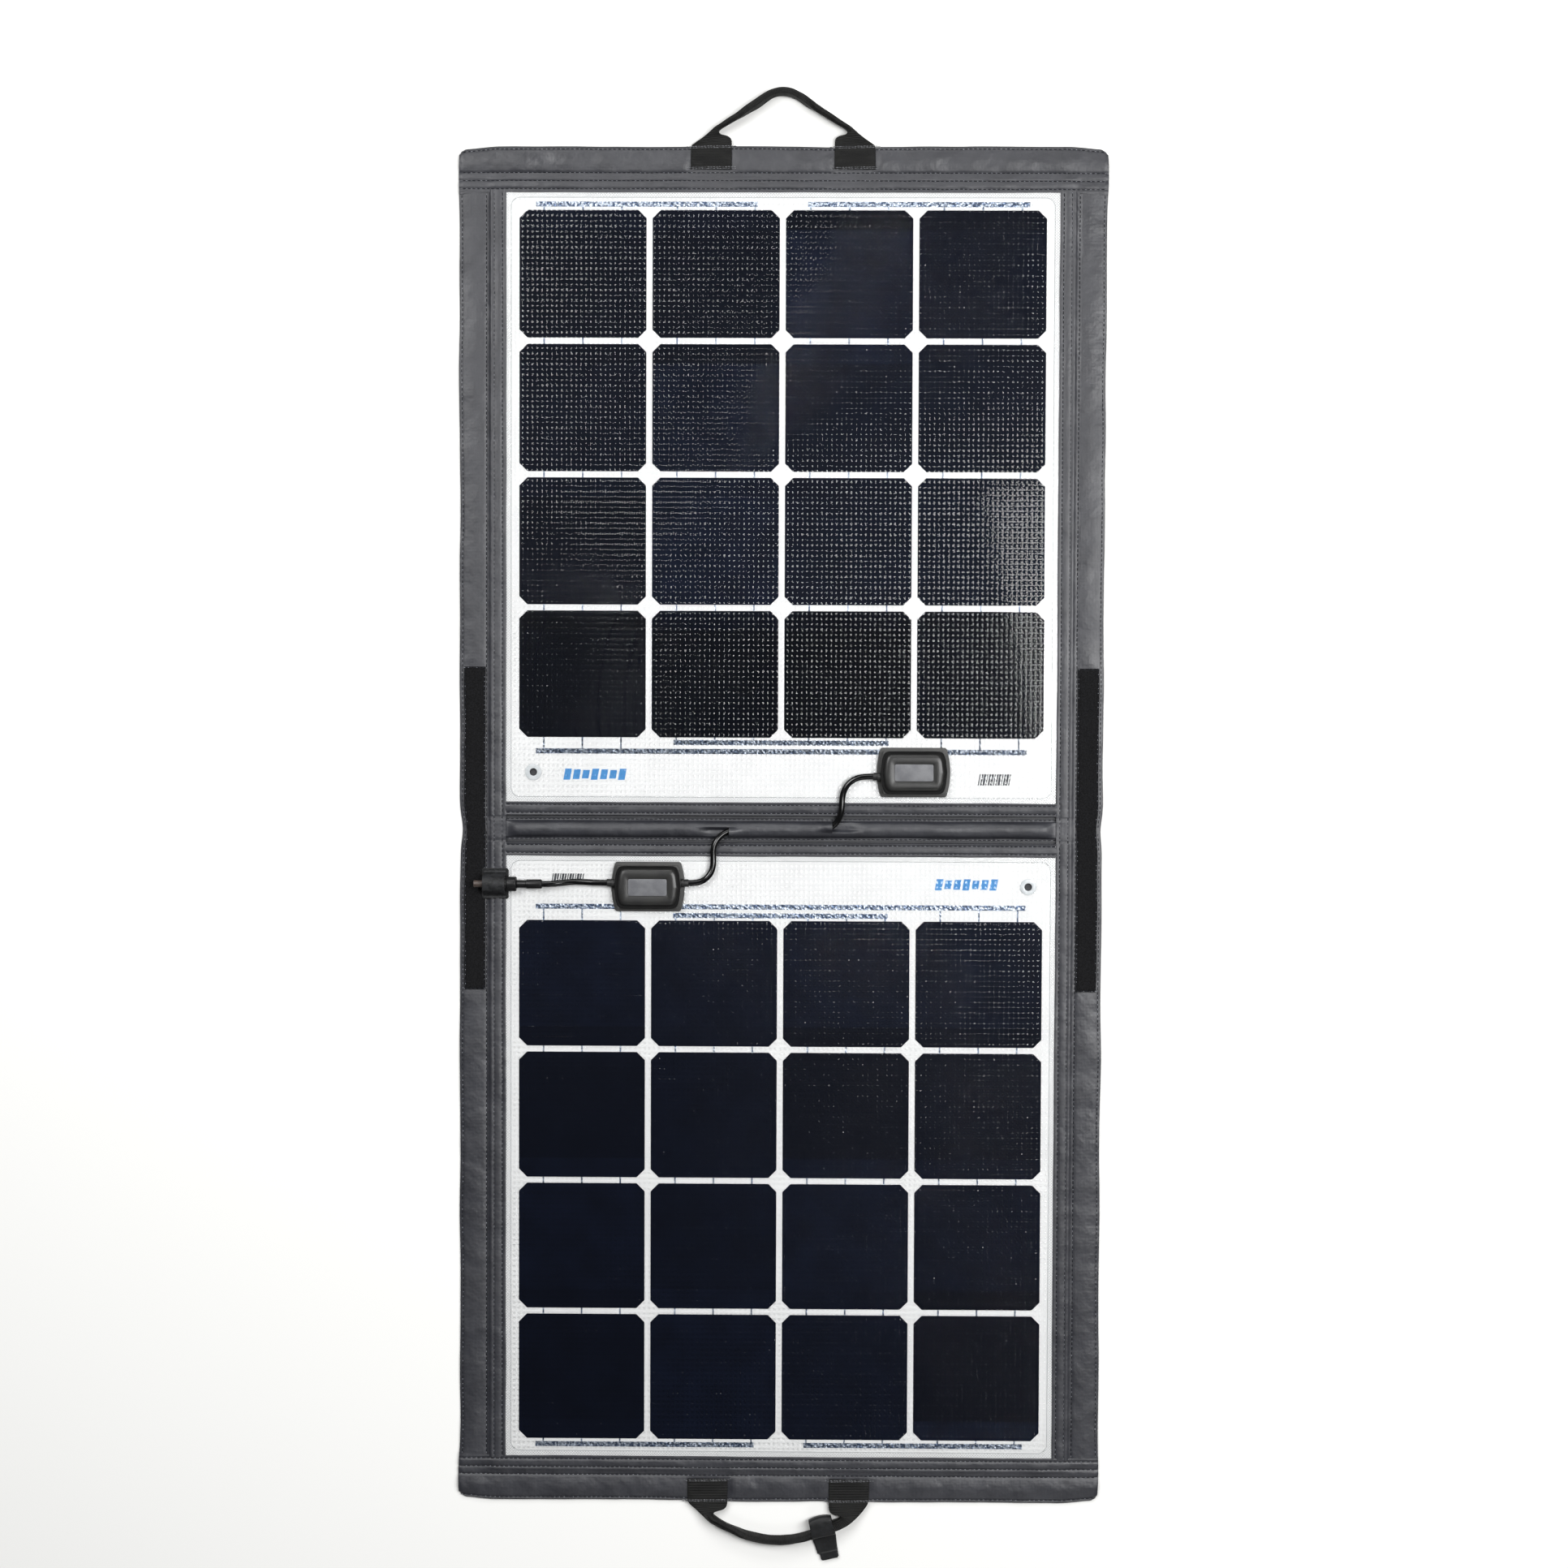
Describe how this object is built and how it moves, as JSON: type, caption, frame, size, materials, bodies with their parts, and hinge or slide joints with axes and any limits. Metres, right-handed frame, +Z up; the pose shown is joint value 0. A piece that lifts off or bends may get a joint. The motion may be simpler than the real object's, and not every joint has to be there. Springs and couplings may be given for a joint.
{
  "type": "folding solar panel bag",
  "caption": "Folding solar bag lying open: two cell panels sewn in grey fabric, joined by a folding spine, with webbing handles, junction boxes, link cable and plug lead.",
  "frame": {"origin": "middle of the spine's underside, on the ground, with the bag lying open and face up", "axes": "+X along the fold to the right, +Y away from the fold over the upper half, +Z up out of the cells' face"},
  "size_m": [0.636, 1.4583, 0.0197],
  "materials": {
    "fabric_grey": "coated polyester, matt",
    "webbing_black": "woven webbing",
    "hook_tape": "hook and loop tape",
    "loop_strap": "hook and loop strap",
    "board_laminate": "glass-fibre board",
    "backsheet_white": "white polymer sheet",
    "cell_silicon": "dark blue-black anti-reflection coat",
    "tinned_ribbon": "tinned copper ribbon",
    "clear_film": "dimpled clear film",
    "grommet_plastic": "clear plastic",
    "box_plastic": "moulded black plastic",
    "box_plate": "blank matt plate",
    "terminal_brass": "plated rail",
    "diode_black": "moulded package",
    "cable_black": "soft jacket",
    "plug_plastic": "moulded black plastic",
    "plug_tip": "brown-grey moulded tip"
  },
  "bodies": {
    "lower_half": {"connector_strap_patch": "loop_strap", "link_cable_lower": "cable_black", "lower_back_cloth": "fabric_grey", "lower_backsheet": "backsheet_white", "lower_binding": "fabric_grey", "lower_board": "board_laminate", "lower_box_base": "box_plastic", "lower_box_diodes": "diode_black", "lower_box_glands": "box_plastic", "lower_box_lid": "box_plastic", "lower_box_plate": "box_plate", "lower_box_terminals": "terminal_brass", "lower_cells": "cell_silicon", "lower_end_band": "fabric_grey", "lower_front_film": "clear_film", "lower_grommet": "grommet_plastic", "lower_handle_anchors": "webbing_black", "lower_hook_tapes": "hook_tape", "lower_ribbons": "tinned_ribbon", "lower_side_borders": "fabric_grey", "output_lead": "cable_black", "plug_body": "plug_plastic", "plug_collar": "plug_plastic", "plug_strain_relief": "plug_plastic", "plug_tip": "plug_tip"},
    "spine": {"spine_back_cloth": "fabric_grey", "spine_cable_sleeve": "fabric_grey", "spine_hook_tapes": "hook_tape", "spine_side_borders": "fabric_grey"},
    "upper_half": {"link_cable_upper": "cable_black", "upper_back_cloth": "fabric_grey", "upper_backsheet": "backsheet_white", "upper_binding": "fabric_grey", "upper_board": "board_laminate", "upper_box_base": "box_plastic", "upper_box_diodes": "diode_black", "upper_box_glands": "box_plastic", "upper_box_lid": "box_plastic", "upper_box_plate": "box_plate", "upper_box_terminals": "terminal_brass", "upper_cells": "cell_silicon", "upper_end_band": "fabric_grey", "upper_front_film": "clear_film", "upper_grommet": "grommet_plastic", "upper_handle_anchors": "webbing_black", "upper_hook_tapes": "hook_tape", "upper_ribbons": "tinned_ribbon", "upper_side_borders": "fabric_grey"},
    "top_handle": {"top_handle": "webbing_black"},
    "bottom_handle": {"bottom_handle": "webbing_black", "closure_loop": "loop_strap"},
    "closure_strap": {"closure_tail": "loop_strap"},
    "connector_strap": {"connector_strap": "loop_strap"}
  },
  "joints": [
    {"name": "fold_lower", "type": "hinge", "parent": "lower_half", "child": "spine", "pos_m": [0, -0.0115, 0.0026], "axis": [1, 0, 0], "range_deg": [0, 90], "deforming": ["link_cable_lower"]},
    {"name": "fold_upper", "type": "hinge", "parent": "spine", "child": "upper_half", "pos_m": [0, 0.0115, 0.0026], "axis": [1, 0, 0], "range_deg": [0, 90], "deforming": ["link_cable_upper"]},
    {"name": "top_handle_swing", "type": "hinge", "parent": "upper_half", "child": "top_handle", "pos_m": [0, 0.6722, 0.0039], "axis": [-1, 0, 0], "range_deg": [-110, 0]},
    {"name": "bottom_handle_swing", "type": "hinge", "parent": "lower_half", "child": "bottom_handle", "pos_m": [0, -0.6722, 0.0039], "axis": [1, 0, 0], "range_deg": [-110, 0]},
    {"name": "closure_strap_swing", "type": "hinge", "parent": "bottom_handle", "child": "closure_strap", "pos_m": [0.04388, -0.70633, 0.0018], "axis": [0.9744, 0.225, 0], "range_deg": [-90, 0]},
    {"name": "connector_strap_open", "type": "hinge", "parent": "lower_half", "child": "connector_strap", "pos_m": [-0.283, -0.0691, 0.00535], "axis": [-1, 0, 0], "range_deg": [-110, 0]}
  ]
}
